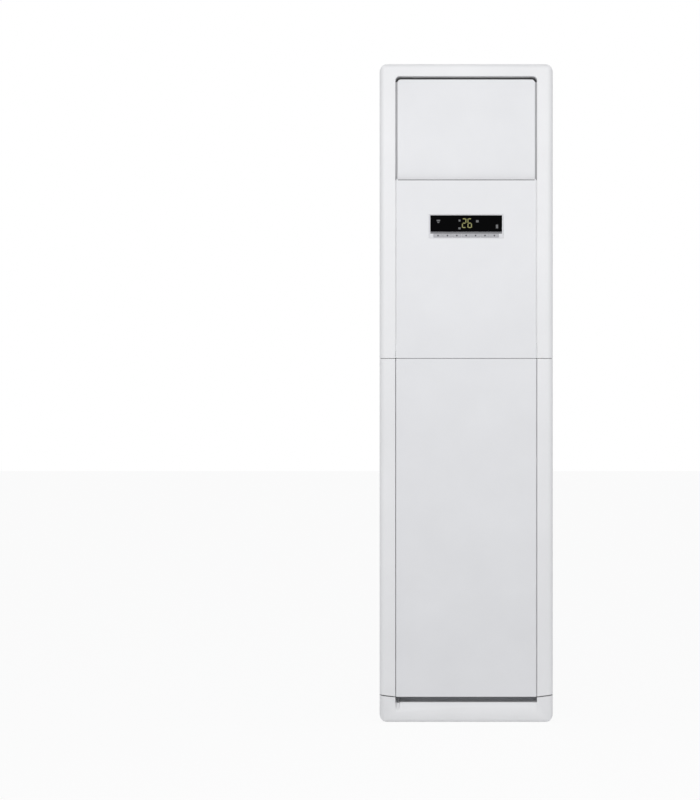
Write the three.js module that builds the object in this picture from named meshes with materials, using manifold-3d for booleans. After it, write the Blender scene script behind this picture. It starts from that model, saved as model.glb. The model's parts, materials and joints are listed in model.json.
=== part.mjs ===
// Floor standing air conditioner, indoor tower. Millimetres, +Z up, front faces -Y, +X is the right
// seen from the front.
import * as THREE from "three";
import { mergeVertices } from "three/addons/utils/BufferGeometryUtils.js";
import Module from "manifold-3d";

const wasm = await Module();
wasm.setup();

// ---------------------------------------------------------------- driving dimensions
// Cabinet
const WIDTH = 468;
const DEPTH = 324;
const PLINTH_HEIGHT = 52.5;
const EAR_RISE = 20; // the plinth's ends stand this much higher than its middle
const EAR_SLOPE = 5; // their tops fall towards the opening
const PILLAR_GAP = 2.5; // plinth ear to pillar
const KICK_GAP = 16.5; // plinth to lower front panel
const LOWER_PANEL_HEIGHT = 911;
const SEAM = 1.2; // lower panel to upper panel
const UPPER_PANEL_HEIGHT = 482.8;
const DOOR_VISIBLE = 271;
const DOOR_TOP_GAP = 5.7;
const TOP_BAR = 34.3;
const SHEET = 2; // painted sheet of the sides and the back
const WALL = 3; // wall of the plastic mouldings
const FIT = 0.3; // between pieces that are fixed to each other
const RUN = 0.5; // between pieces that move on each other

// Front moulding
const MOULD_DEPTH = 44;
const PILLAR_WIDTH = 43;
const PILLAR_ROUND = 15; // rounding between the pillar's front and side
const PILLAR_BULGE = 2.1; // exponent of the pillar's superellipse
const CORNER_RADIUS = 24; // cabinet corner in front view
const TOP_EDGE_RADIUS = 12;
const OPENING_RADIUS = 12;
const GROOVE = 3; // front panels to pillars
const LEDGE_OVERLAP = 1.5; // ledge behind the groove reaches this far behind the panel's edge
const PANEL_RECESS = 3; // front panels behind the pillars' front
const TRIM_GROOVE = 2; // groove along the upper panel's top edge
const TRIM_LIP = 1.4; // panel left above that groove
const TRIM_IN = 4; // groove's ends in from the panel's sides
const SIDE_INSET = 1; // side panels in from the pillars' sides
const FLANGE = 12; // folds of the side panels
const TIE_PLATE = 2;

// Door and its drive
const DOOR_RECESS = 15; // door face behind the pillars' front
const DOOR_SIDE_GAP = 5;
const DOOR_CORNER_RADIUS = 9;
const DOOR_HIDDEN = 30; // door below the upper panel's top edge
const GEAR_MODULE = 2;
const PINION_TEETH = 14;
const PINION_WIDTH = 10;
const RACK_BACKING = 2.5;
const RACK_INSET = 18; // rack's outer side in from the door's edge
const DRIVE_SHAFT_RADIUS = 4;
const PINION_BELOW_PANEL_TOP = 12;
const RAIL_WIDTH = 10;
const DOOR_MOTOR_RADIUS = 14;
const DOOR_MOTOR_LENGTH = 13;

// Display and keys
const DISPLAY_WIDTH = 193;
const DISPLAY_HEIGHT = 44;
const DISPLAY_TOP_DROP = 98; // window top below the upper panel's top edge
const BEZEL_SIDE = 3.5;
const BEZEL_TOP = 2;
const BEZEL_MIDDLE = 6; // strip between the window and the keys
const MODULE_DEPTH = 9.5;
const KEYS = 7;
const KEY_PITCH = 25.3;
const KEY_WIDTH = 23.5;
const KEY_HEIGHT = 8.5;
const KEY_PROUD = 1.2;
const KEY_TRAVEL = 1;
const KEY_DEPTH = 5;
const KEY_GAP = 0.4;

// Air outlet
const MOUTH_SIDE_WALL = 17; // opening side to duct wall
const OUTLET_DEPTH = 120;
const OUTLET_FLANGE_BACK = 28; // flange face behind the pillars' front
const OUTLET_FLOOR_RISE = 8; // duct floor above the upper panel's top edge
const OUTLET_TOP_DROP = 9.7;
const FLANGE_TOP_IN = 1.3; // flange's top edge below the duct's, clear of the opening's rounded corners
const LOUVRES = 4;
const LOUVRE_CHORD = 54;
const VANES = 4;
const VANE_CHORD = 44;
const BLADE_THICK = 4;
const BLADE_PIN = 2.5;
const LINK_ARM = 18; // crank length of the blades
const LINK_PIN = 1.7;
const LINK_WIDTH = 8;
const LINK_THICK = 3;
const STEPPER_RADIUS = 12;
const STEPPER_LENGTH = 16;

// Fan
const FAN_CENTRE_HEIGHT = 330;
const FAN_SET_BACK = 104; // scroll front behind the pillars' front
const FAN_SIDE_GAP = 14; // scroll to filter
const WHEEL_GAP = 11; // wheel to the scroll's cutoff
const WHEEL_BAND = 33; // wheel's rim to its eye
const WHEEL_WIDTH = 96;
const WHEEL_BLADES = 30;
const BLADE_DEPTH = 22;
const SCROLL_GROWTH = 32;
const SCROLL_DEPTH = 120;
const CUTOFF_ANGLE = 70;
const FAN_MOTOR_RADIUS = 55;
const FAN_MOTOR_LENGTH = 66;
const FAN_SHAFT_RADIUS = 6;
const FAN_FOOT_HALF_WIDTH = 120;

// Base, intake and filters
const PAN_HEIGHT = 45;
const INTAKE_BOTTOM = 110;
const INTAKE_HEIGHT = 460;
const INTAKE_LENGTH = 200;
const INTAKE_SET_BACK = 34; // intake front behind the side panel's front edge
const INTAKE_RIM = 12;
const SLAT_PITCH = 20;
const SLAT_THICK = 3;
const FILTER_THICK = 6;
const FILTER_INSET = 20; // filter behind the side panel
const FILTER_BARS = 4;
const PARTITION_HEIGHT = 600;

// Electrics, drain and coil
const ELECTRICS_HEIGHT = 180;
const ELECTRICS_HALF_WIDTH = 150;
const ELECTRICS_DEPTH = 72;
const DRAIN_GAP = 20;
const DRAIN_HEIGHT = 32;
const DRAIN_FRONT = 52; // drain pan behind the pillars' front
const DRAIN_LENGTH = 95;
const COIL_THICK = 50;
const COIL_SIDE = 44; // coil ends in from the cabinet's sides
const COIL_BACK = 70; // top of the coil's middle in from the back
const COIL_TOP_GAP = 42; // coil top below the duct floor
const COIL_PASSES = 12;
const FIN_SLOTS = 22;
const FIN_SLOT_DEPTH = 6;
const TUBE_RADIUS = 5;
const GAS_RADIUS = 6.5;
const LIQUID_RADIUS = 4;
const HOSE_RADIUS = 8;

// Pipe exit and cable gland in the lower rear panel
const EXIT_IN = 101; // pipe exit's middle in from the side panel
const EXIT_ABOVE_PARTITION = 90;
const EXIT_RADIUS = 42;
const EXIT_SIDES = 24;
const GROMMET_WALL = 4;
const GLAND_IN = 101;
const GLAND_ABOVE_PARTITION = 40;
const GLAND_RADIUS = 9;
const CABLE_RADIUS = 5;

// ---------------------------------------------------------------- places worked out from them
const halfW = WIDTH / 2;
const front = -DEPTH / 2;
const back = DEPTH / 2;
const mouldBack = front + MOULD_DEPTH;
const earTop = PLINTH_HEIGHT + EAR_RISE;
const lowerBottom = PLINTH_HEIGHT + KICK_GAP;
const lowerTop = lowerBottom + LOWER_PANEL_HEIGHT;
const upperBottom = lowerTop + SEAM;
const upperTop = upperBottom + UPPER_PANEL_HEIGHT;
const doorTop = upperTop + DOOR_VISIBLE;
const openingTop = doorTop + DOOR_TOP_GAP;
const height = openingTop + TOP_BAR;
const openingHalf = halfW - PILLAR_WIDTH;
const panelHalf = openingHalf - GROOVE;
const panelFront = front + PANEL_RECESS;
const panelBack = panelFront + WALL;
const rearFace = back - TIE_PLATE;
const rearInner = rearFace - SHEET;
const sideOuter = halfW - SIDE_INSET;
const sideInner = sideOuter - SHEET;
const coverBottom = openingTop + WALL;
const partitionTop = PARTITION_HEIGHT + SHEET;
const filterOuter = sideInner - FILTER_INSET;
const filterInner = filterOuter - FILTER_THICK;
const scrollOutletRight = filterInner - FAN_SIDE_GAP - WALL;
const scrollStart = scrollOutletRight - SCROLL_GROWTH;
const wheelRadius = scrollStart - WHEEL_GAP;
const wheelEye = wheelRadius - WHEEL_BAND;
const exitX = sideInner - EXIT_IN;
const glandX = GLAND_IN - sideInner;

// ---------------------------------------------------------------- materials
function paint(color, roughness, metalness = 0) {
  return new THREE.MeshStandardMaterial({ color, roughness, metalness });
}
const white = paint("#ededf0", 0.35);
const whiteSheet = paint("#e9eaec", 0.45, 0.1);
const duct = paint("#d9dadb", 0.6);
const dark = paint("#2b2d30", 0.6);
const lens = paint("#0c0d0f", 0.1);
const greyTrim = paint("#b9bcc0", 0.5);
const zinc = paint("#a9adb0", 0.45, 0.9);
const fin = paint("#c3c7ca", 0.4, 0.9);
const copper = paint("#b8703c", 0.35, 1);
const rubber = paint("#202122", 0.9);
const mesh = paint("#6f7880", 0.8);

// ---------------------------------------------------------------- helpers
function solid(geometry) {
  const g = geometry.clone();
  g.deleteAttribute("normal");
  g.deleteAttribute("uv");
  const m = mergeVertices(g, 1e-4);
  const vertProperties = m.attributes.position.array;
  const triVerts = new Uint32Array(m.index.array);
  return new wasm.Manifold(new wasm.Mesh({ numProp: 3, vertProperties, triVerts }));
}

function geometryOf(body) {
  const m = body.getMesh();
  const g = new THREE.BufferGeometry();
  g.setAttribute("position", new THREE.BufferAttribute(m.vertProperties, 3));
  g.setIndex(new THREE.BufferAttribute(m.triVerts, 1));
  const flat = g.toNonIndexed();
  flat.computeVertexNormals();
  return flat;
}

function addPiece(parent, name, body, material, place = [0, 0, 0]) {
  const piece = new THREE.Mesh(geometryOf(body), material);
  piece.name = name;
  piece.position.set(...place);
  parent.add(piece);
  return piece;
}

function addGroup(parent, place, tilt = 0) {
  const group = new THREE.Group();
  group.position.set(...place);
  group.rotation.x = tilt;
  parent.add(group);
  return group;
}

// A box between two limits on each axis.
function box([x0, x1], [y0, y1], [z0, z1]) {
  const g = new THREE.BoxGeometry(x1 - x0, y1 - y0, z1 - z0);
  g.translate((x0 + x1) / 2, (y0 + y1) / 2, (z0 + z1) / 2);
  return solid(g);
}

function extruded(points, depth) {
  const shape = new THREE.Shape(points.map(([a, b]) => new THREE.Vector2(a, b)));
  return new THREE.ExtrudeGeometry(shape, { depth, bevelEnabled: false, curveSegments: 8 });
}

// Prisms along each axis: Z takes (x, y) outlines, Y takes (x, z) and X takes (y, z).
function prismZ(points, z0, z1) {
  return solid(extruded(points, z1 - z0).translate(0, 0, z0));
}
function prismY(points, y0, y1) {
  return solid(extruded(points, y1 - y0).rotateX(Math.PI / 2).translate(0, y1, 0));
}
function prismX(points, x0, x1) {
  return solid(extruded(points, x1 - x0).rotateX(Math.PI / 2).rotateZ(Math.PI / 2).translate(x0, 0, 0));
}

function rodZ(x, y, z0, z1, radius, sides = 16) {
  const g = new THREE.CylinderGeometry(radius, radius, z1 - z0, sides).rotateX(Math.PI / 2);
  return solid(g.translate(x, y, (z0 + z1) / 2));
}
function rodY(x, z, y0, y1, radius, sides = 16) {
  const g = new THREE.CylinderGeometry(radius, radius, y1 - y0, sides);
  return solid(g.translate(x, (y0 + y1) / 2, z));
}
function rodX(y, z, x0, x1, radius, sides = 16) {
  const g = new THREE.CylinderGeometry(radius, radius, x1 - x0, sides).rotateZ(Math.PI / 2);
  return solid(g.translate((x0 + x1) / 2, y, z));
}

// A body of revolution about the Y axis from [radius, y] points.
function turnedY(profile, sides) {
  const points = profile.map(([r, y]) => new THREE.Vector2(r, y));
  return solid(new THREE.LatheGeometry(points, sides));
}

function joined(bodies) {
  return bodies.reduce((sum, body) => sum.add(body));
}
function cut(body, tools) {
  return tools.reduce((rest, tool) => rest.subtract(tool), body);
}
function mirrored(points) {
  return points.map(([a, b]) => [-a, b]).reverse();
}

// Points of a rounded corner: centre, half axes, start and end angle in degrees.
function arc(cx, cy, rx, ry, from, to, steps = 6, exponent = 2) {
  const points = [];
  for (let i = 0; i <= steps; i++) {
    const angle = THREE.MathUtils.degToRad(from + ((to - from) * i) / steps);
    const c = Math.cos(angle);
    const s = Math.sin(angle);
    const x = Math.sign(c) * Math.abs(c) ** (2 / exponent);
    const y = Math.sign(s) * Math.abs(s) ** (2 / exponent);
    points.push([cx + rx * x, cy + ry * y]);
  }
  return points;
}

// A round tube through points, its corners rounded with the given bend radius.
function tube(corners, radius, bend, sides = 8) {
  const points = corners.map((p) => new THREE.Vector3(...p));
  const centres = [points[0]];
  for (let i = 1; i < points.length - 1; i++) {
    const into = points[i].clone().sub(points[i - 1]).normalize();
    const out = points[i + 1].clone().sub(points[i]).normalize();
    const reach = bend * Math.tan(into.angleTo(out) / 2);
    const a = points[i].clone().addScaledVector(into, -reach);
    const b = points[i].clone().addScaledVector(out, reach);
    const curve = new THREE.QuadraticBezierCurve3(a, points[i], b);
    centres.push(...curve.getPoints(4));
  }
  centres.push(points[points.length - 1]);
  return solid(tubeGeometry(centres, radius, sides));
}

// Rings square to the path, carried along it without twist, with a flat cap at each end.
function tubeGeometry(centres, radius, sides) {
  const tangents = centres.map((p, i) => {
    const before = centres[Math.max(i - 1, 0)];
    const after = centres[Math.min(i + 1, centres.length - 1)];
    return after.clone().sub(before).normalize();
  });
  const side = new THREE.Vector3(0, 0, 1);
  if (Math.abs(tangents[0].z) > 0.9) side.set(0, 1, 0);
  const positions = [];
  let normal = side.cross(tangents[0]).normalize();
  tangents.forEach((tangent, i) => {
    normal = normal.clone().addScaledVector(tangent, -normal.dot(tangent)).normalize();
    const binormal = tangent.clone().cross(normal);
    for (let k = 0; k < sides; k++) {
      const angle = (2 * Math.PI * k) / sides;
      const p = centres[i].clone();
      p.addScaledVector(normal, radius * Math.cos(angle));
      p.addScaledVector(binormal, radius * Math.sin(angle));
      positions.push(p.x, p.y, p.z);
    }
  });
  const index = [];
  for (let i = 0; i + 1 < centres.length; i++) {
    for (let k = 0; k < sides; k++) {
      const a = i * sides + k;
      const b = i * sides + ((k + 1) % sides);
      index.push(a, b, a + sides, b, b + sides, a + sides);
    }
  }
  const end = (centres.length - 1) * sides;
  for (let k = 1; k + 1 < sides; k++) {
    index.push(0, k + 1, k);
    index.push(end, end + k, end + k + 1);
  }
  const g = new THREE.BufferGeometry();
  g.setAttribute("position", new THREE.Float32BufferAttribute(positions, 3));
  g.setIndex(index);
  return g;
}

const root = new THREE.Group();
const cabinet = addGroup(root, [0, 0, 0]);

// ---------------------------------------------------------------- outer casing of the front mouldings
// Plan of the cabinet's rounded front, moved in by an inset.
function casingPlan(inset) {
  const r = PILLAR_ROUND - inset;
  const corner = arc(halfW - PILLAR_ROUND, front + PILLAR_ROUND, r, -r, 0, 90, 8, PILLAR_BULGE);
  const right = [[halfW - inset, mouldBack + inset], ...corner];
  return [...right, ...mirrored(right)];
}

// Front view of the cabinet with rounded corners, moved in by an inset.
function casingFront(inset, bottomRound) {
  const r = CORNER_RADIUS - inset;
  const x = halfW - CORNER_RADIUS;
  const topCorner = arc(x, height - CORNER_RADIUS, r, r, 0, 90, 6);
  const bottomCorner = bottomRound
    ? arc(x, CORNER_RADIUS, r, r, -90, 0, 6)
    : [[halfW - inset, -inset]];
  const right = [...bottomCorner, ...topCorner];
  return [...right, ...mirrored(right)];
}

// Side view of the front mouldings: the top edge is rounded.
function casingSide(inset) {
  const r = TOP_EDGE_RADIUS - inset;
  const corner = arc(front + TOP_EDGE_RADIUS, height - TOP_EDGE_RADIUS, r, r, 90, 180, 5);
  const rear = mouldBack + inset;
  return [[rear, -inset], [rear, height - inset], ...corner, [front + inset, -inset]];
}

function casing(inset, z0, z1, bottomRound = false) {
  const plan = prismZ(casingPlan(inset), z0, z1);
  const frontView = prismY(casingFront(inset, bottomRound), front - 1, mouldBack + inset + 1);
  const sideView = prismX(casingSide(inset), -halfW, halfW);
  return plan.intersect(frontView).intersect(sideView);
}

// Outline of the front opening between the pillars, grown by a margin.
function openingOutline(margin, z0, z1) {
  const x = openingHalf + margin;
  const r = OPENING_RADIUS + margin;
  const corner = arc(x - r, z1 + margin - r, r, r, 0, 90, 5);
  return [[x, z0], ...corner, ...mirrored(corner), [-x, z0]];
}

// ---------------------------------------------------------------- fixed front pieces
const doorFront = front + DOOR_RECESS;
const doorBack = doorFront + WALL;
const doorHalf = openingHalf - DOOR_SIDE_GAP;
const doorBottom = upperTop - DOOR_HIDDEN;
const railTop = openingTop - OPENING_RADIUS;
const railBottom = doorBottom - DOOR_VISIBLE;

function upperFrontFrame() {
  const outer = casing(0, upperBottom, height);
  const hole = prismY(openingOutline(0, upperBottom - 1, openingTop), front - 1, mouldBack + 1);
  const surround = prismY(openingOutline(WALL, upperBottom - 1, openingTop), front - 1, mouldBack + 1);
  const hollow = casing(WALL, upperBottom - 1, height).subtract(surround);
  const rails = [-1, 1].map((side) => {
    const x = [side * (openingHalf - RAIL_WIDTH), side * (openingHalf + 1)].sort((a, b) => a - b);
    return box(x, [doorBack + FIT, doorBack + WALL], [railBottom, railTop]);
  });
  const railZ = upperBottom + RUN + CROSS_RAIL_HEIGHT + FIT;
  const ledges = [-1, 1].map((side) => ledge(side, panelBack + FIT, railZ, upperTop - WALL));
  return joined([outer.subtract(hollow).subtract(hole), ...rails, ...ledges]);
}

// A strip along the opening's side that closes the groove behind a front panel's edge.
function ledge(side, y, z0, z1) {
  const reach = openingHalf - GROOVE - LEDGE_OVERLAP;
  const x = [side * reach, side * (openingHalf + 1)].sort((a, b) => a - b);
  return box(x, [y, y + WALL], [z0, z1]);
}

// Everything below the plinth ears' sloping tops, moved up by a lift.
function belowEars(lift) {
  const beyond = 10;
  const outer = earTop + lift + (beyond * EAR_SLOPE) / PILLAR_WIDTH;
  const inner = earTop + lift - EAR_SLOPE;
  const right = [[halfW + beyond, -1], [halfW + beyond, outer], [openingHalf, inner]];
  return prismY([...right, ...mirrored(right)], front - 2, mouldBack + 2);
}

// One lower pillar, an open channel: side is 1 for the right one and -1 for the left one.
function lowerPillar(side) {
  const bottom = earTop - EAR_SLOPE;
  const outer = casing(0, bottom, lowerTop).subtract(belowEars(PILLAR_GAP));
  const surround = prismY(openingOutline(WALL, 0, openingTop), front - 1, mouldBack + 1);
  const hollow = casing(WALL, bottom - 1, lowerTop + 1).subtract(surround);
  const hole = prismY(openingOutline(0, 0, openingTop), front - 1, mouldBack + 1);
  const half = box(side > 0 ? [0, WIDTH] : [-WIDTH, 0], [-DEPTH, DEPTH], [0, height]);
  return outer.subtract(hollow).subtract(hole).intersect(half);
}

// The plinth's middle slopes back towards its top edge; its ends rise to the pillars.
const PLINTH_LEAN = 12; // top edge of the middle behind the front
const PLINTH_SLOPE_START = 26;
const PLINTH_FOOT_RADIUS = 10;
function plinthProfile(inset) {
  const foot = arc(front + PLINTH_FOOT_RADIUS, PLINTH_FOOT_RADIUS,
    PLINTH_FOOT_RADIUS - inset, PLINTH_FOOT_RADIUS, 180, 270, 4);
  const slopeTop = [front + PLINTH_LEAN + inset, PLINTH_HEIGHT - inset];
  return [[mouldBack, PLINTH_HEIGHT - inset], slopeTop, [front + inset, PLINTH_SLOPE_START], ...foot,
    [mouldBack, 0]];
}
function plinthCover() {
  const ends = casing(0, 0, earTop, true).intersect(belowEars(0));
  const notch = box([-openingHalf, openingHalf], [front - 1, mouldBack + 1], [PLINTH_SLOPE_START, height]);
  const middle = prismX(plinthProfile(0), -openingHalf - 1, openingHalf + 1);
  const ground = box([-halfW, halfW], [front - 1, mouldBack], [0, PLINTH_SLOPE_START]);
  const footed = ends.intersect(prismX(plinthProfile(0), -halfW, halfW).add(
    box([-halfW, halfW], [front, mouldBack], [PLINTH_SLOPE_START, height])));
  const outer = footed.subtract(notch).add(middle.subtract(ground));
  const innerEnds = casing(WALL, WALL, earTop - WALL).intersect(belowEars(-WALL))
    .subtract(box([-openingHalf - WALL, openingHalf + WALL], [front, back], [PLINTH_SLOPE_START, height]));
  const innerMiddle = prismX([[mouldBack + 1, PLINTH_HEIGHT - WALL],
    [front + PLINTH_LEAN + WALL, PLINTH_HEIGHT - WALL], [front + WALL, PLINTH_SLOPE_START],
    [front + WALL, WALL], [mouldBack + 1, WALL]], -openingHalf, openingHalf);
  const pinHole = rodZ(hingeX, hingeY, PLINTH_HEIGHT - 2 * WALL, PLINTH_HEIGHT + 1, HINGE_PIN + FIT);
  const boss = rodZ(hingeX, hingeY, PLINTH_SLOPE_START, PLINTH_HEIGHT, HINGE_PIN + FIT + WALL);
  const upstand = box([-openingHalf, openingHalf], [mouldBack - WALL, mouldBack],
    [PLINTH_HEIGHT - WALL, lowerBottom + UPSTAND_OVERLAP]);
  return cut(outer, [innerEnds, innerMiddle]).add(boss).subtract(pinHole).add(upstand);
}
const UPSTAND_OVERLAP = 8; // wall behind the kick gap, up past the lower panel's bottom edge

const CROSS_RAIL_HEIGHT = 40;
function crossRail() {
  const x = openingHalf - FIT;
  const z0 = upperBottom + RUN;
  const z1 = z0 + CROSS_RAIL_HEIGHT;
  const outer = box([-x, x], [panelBack, mouldBack - WALL], [z0, z1]);
  const hollow = box([-x - 1, x + 1], [panelBack + WALL, mouldBack], [z0 + WALL, z1 - WALL]);
  const pinHole = rodZ(hingeX, hingeY, z0 - 1, z0 + WALL + 1, HINGE_PIN + FIT);
  const boss = rodZ(hingeX, hingeY, z0, z0 + 2 * WALL, HINGE_PIN + FIT + WALL).intersect(outer);
  return cut(outer, [hollow]).add(boss).subtract(pinHole.add(rodZ(hingeX, hingeY, z0, z0 + 3 * WALL,
    HINGE_PIN + FIT)));
}

// Lower front panel: a shallow tray that turns on two pins near its left edge. Its flange is wider
// than its face, which closes the grooves at its sides from behind.
const HINGE_PIN = 2;
const HINGE_IN = 4.2; // pin axis from the panel's left edge
const HINGE_BACK = 5; // pin axis behind the panel's face
const PANEL_FLANGE = 7.5;
const EDGE_STEP = 3.5; // from the panel's face back to its wider flange
const edgeWing = GROOVE - 2 * RUN;
const hingeX = -panelHalf + HINGE_IN;
const hingeY = panelFront + HINGE_BACK;
const panelSwing = Math.max(Math.hypot(HINGE_IN, HINGE_BACK),
  Math.hypot(HINGE_IN + edgeWing, PANEL_FLANGE - HINGE_BACK)); // reach of its corners round the pins
const PIN_ENGAGE = 4;
function lowerFrontPanel() {
  const h = LOWER_PANEL_HEIGHT;
  const face = box([0, 2 * panelHalf], [0, PANEL_FLANGE], [0, h]);
  const flange = box([-edgeWing, 2 * panelHalf + edgeWing], [EDGE_STEP, PANEL_FLANGE], [0, h]);
  const hollow = box([WALL, 2 * panelHalf - WALL], [WALL, PANEL_FLANGE + 1], [WALL, h - WALL]);
  const below = KICK_GAP + PIN_ENGAGE;
  const above = SEAM + RUN + PIN_ENGAGE;
  const pins = rodZ(HINGE_IN, HINGE_BACK, -below, WALL, HINGE_PIN).add(
    rodZ(HINGE_IN, HINGE_BACK, h - WALL, h + above, HINGE_PIN));
  return face.add(flange).subtract(hollow).add(pins);
}

// Display module: bezel, dark window and a row of keys in the upper front panel.
const displayTop = upperTop - DISPLAY_TOP_DROP;
const displayBottom = displayTop - DISPLAY_HEIGHT;
const moduleTop = displayTop + BEZEL_TOP;
const keyHole = KEY_HEIGHT + 2 * KEY_GAP;
const keyZ = displayBottom - BEZEL_MIDDLE - keyHole / 2;
const moduleBottom = keyZ - keyHole / 2 - BEZEL_TOP;
const moduleHalf = DISPLAY_WIDTH / 2 + BEZEL_SIDE;
const windowDepth = 2;
function keyX(i) {
  return (i - (KEYS - 1) / 2) * KEY_PITCH;
}
function upperFrontPanel() {
  const plate = box([-panelHalf, panelHalf], [panelFront, panelBack], [upperBottom, upperTop]);
  const window = box([-moduleHalf - FIT, moduleHalf + FIT], [front - 1, panelBack + 1],
    [moduleBottom - FIT, moduleTop + FIT]);
  const trimTop = upperTop - TRIM_LIP;
  const trim = box([-panelHalf + TRIM_IN, panelHalf - TRIM_IN], [front, panelFront + TRIM_GROOVE],
    [trimTop - TRIM_GROOVE, trimTop]);
  return plate.subtract(window).subtract(trim);
}
function displayHousing() {
  const plate = box([-moduleHalf, moduleHalf], [panelFront, panelFront + MODULE_DEPTH],
    [moduleBottom, moduleTop]);
  const recess = box([-DISPLAY_WIDTH / 2 - FIT, DISPLAY_WIDTH / 2 + FIT],
    [front - 1, panelFront + windowDepth + FIT], [displayBottom - FIT, displayTop + FIT]);
  const holes = [];
  for (let i = 0; i < KEYS; i++) {
    const w = KEY_WIDTH / 2 + KEY_GAP;
    holes.push(box([keyX(i) - w, keyX(i) + w],
      [front - 1, panelFront + KEY_DEPTH + KEY_TRAVEL + RUN], [keyZ - keyHole / 2, keyZ + keyHole / 2]));
  }
  return cut(plate, [recess, ...holes]);
}
function displayWindow() {
  const x = [-DISPLAY_WIDTH / 2, DISPLAY_WIDTH / 2];
  return box(x, [0, windowDepth], [-DISPLAY_HEIGHT / 2, DISPLAY_HEIGHT / 2]);
}
function keyCap() {
  return box([-KEY_WIDTH / 2, KEY_WIDTH / 2], [-KEY_PROUD, KEY_DEPTH], [-KEY_HEIGHT / 2, KEY_HEIGHT / 2]);
}

// ---------------------------------------------------------------- sheet metal
const intakeFront = mouldBack + INTAKE_SET_BACK;
const intakeBack = intakeFront + INTAKE_LENGTH;
const intakeTop = INTAKE_BOTTOM + INTAKE_HEIGHT;
function sidePanel(side) {
  const along = (a, b) => [side * a, side * b].sort((p, q) => p - q);
  const sheet = box(along(sideInner, sideOuter), [mouldBack, rearFace], [SHEET, coverBottom]);
  const flangeZ = [PAN_HEIGHT + FIT, coverBottom];
  const flangeX = along(sideInner - FLANGE, sideInner + 1);
  const frontFold = box(flangeX, [mouldBack, mouldBack + SHEET], flangeZ);
  const rearFold = box(flangeX, [rearInner - SHEET, rearInner], flangeZ);
  const intake = box(along(sideInner - 1, sideOuter + 1), [intakeFront, intakeBack],
    [INTAKE_BOTTOM, intakeTop]);
  return joined([sheet, frontFold, rearFold]).subtract(intake);
}
const filterSlot = 1.5;
function rearLowerPanel() {
  const plate = box([-sideInner, sideInner], [rearInner, rearFace], [SHEET, upperBottom - RUN]);
  const exit = rodY(exitX, exitZ, rearInner - 1, back, EXIT_RADIUS, EXIT_SIDES);
  const gland = rodY(glandX, glandZ, rearInner - 1, back, GLAND_RADIUS, 12);
  const slots = [-1, 1].map((side) => {
    const x = [side * (filterInner - filterSlot), side * (filterOuter + filterSlot)].sort((a, b) => a - b);
    return box(x, [rearInner - 1, back], [INTAKE_BOTTOM - filterSlot, intakeTop + filterSlot]);
  });
  return cut(plate, [exit, gland, ...slots]);
}
function rearUpperPanel() {
  return box([-sideInner, sideInner], [rearInner, rearFace], [upperBottom + RUN, coverBottom]);
}
function wallBracket() {
  const plate = box([-BRACKET_HALF, BRACKET_HALF], [0, TIE_PLATE], [0, BRACKET_HEIGHT]);
  const slots = [-1, 1].map((side) => rodY(side * (BRACKET_HALF - BRACKET_HEIGHT / 2),
    BRACKET_HEIGHT / 2, -1, TIE_PLATE + 1, BRACKET_HOLE, 12));
  return cut(plate, slots);
}
const BRACKET_HALF = 60;
const BRACKET_HEIGHT = 40;
const BRACKET_HOLE = 4;
const BRACKET_DROP = 40;
function topCover() {
  const outline = (inset) => prismY(casingFront(SIDE_INSET + inset, false), mouldBack, rearFace)
    .intersect(box([-halfW, halfW], [front, back], [coverBottom, height - inset]));
  const hollow = prismY(casingFront(SIDE_INSET + SHEET, false), mouldBack + SHEET, rearFace - SHEET)
    .intersect(box([-halfW, halfW], [front, back], [coverBottom - 1, height - SHEET]));
  return outline(0).subtract(hollow);
}
function basePan() {
  const x = sideInner - FIT;
  const outer = box([-x, x], [mouldBack + FIT, rearInner - FIT], [0, PAN_HEIGHT]);
  const pocket = box([-x + WALL, x - WALL], [mouldBack + FIT + WALL, rearInner - FIT - WALL],
    [WALL, PAN_HEIGHT + 1]);
  return outer.subtract(pocket);
}
function partition() {
  const x = sideInner - FIT;
  const main = box([-x, x], [mouldBack + SHEET + FIT, rearInner - SHEET - FIT], [0, SHEET]);
  const noseHalf = -hingeX - panelSwing - 1; // clear of the turning panel's edge
  const nose = box([-noseHalf, noseHalf],
    [panelFront + PANEL_FLANGE + 2, mouldBack + SHEET + 1], [0, SHEET]);
  const hole = box([scrollOutletLeft, scrollOutletRight], [scrollFront + WALL, scrollBack - WALL],
    [-1, SHEET + 1]);
  return main.add(nose).subtract(hole);
}

// ---------------------------------------------------------------- intake grille and filter
// The grille is made for the right side, with its outer face at x = 0, and turned round for the left.
function intakeGrille(side) {
  const along = (a, b) => [side * a, side * b].sort((p, q) => p - q);
  const y = [intakeFront + FIT, intakeBack - FIT];
  const z = [INTAKE_BOTTOM + FIT, intakeTop - FIT];
  const frame = box(along(sideInner - WALL, sideOuter), y, z).subtract(
    box(along(sideInner - 2 * WALL, sideOuter + 1), [y[0] + INTAKE_RIM, y[1] - INTAKE_RIM],
      [z[0] + INTAKE_RIM, z[1] - INTAKE_RIM]));
  const slats = [];
  for (let s = z[0] + INTAKE_RIM + SLAT_PITCH; s < z[1] - INTAKE_RIM - SLAT_THICK; s += SLAT_PITCH)
    slats.push(box(along(sideInner - WALL, sideOuter - 0.5), [y[0] + INTAKE_RIM - 1, y[1] - INTAKE_RIM + 1],
      [s, s + SLAT_THICK]));
  const shelf = along(filterInner - SHEET, sideInner - 1);
  const shelves = [z[0], z[1] - SHEET].map((s) => box(shelf, y, [s, s + SHEET]));
  return joined([frame, ...slats, ...shelves]);
}
const FILTER_RIM = 12;
const filterFront = intakeFront + FIT + 2;
const filterZ0 = INTAKE_BOTTOM + FIT + SHEET + RUN;
const filterZ1 = intakeTop - FIT - SHEET - RUN;
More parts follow.
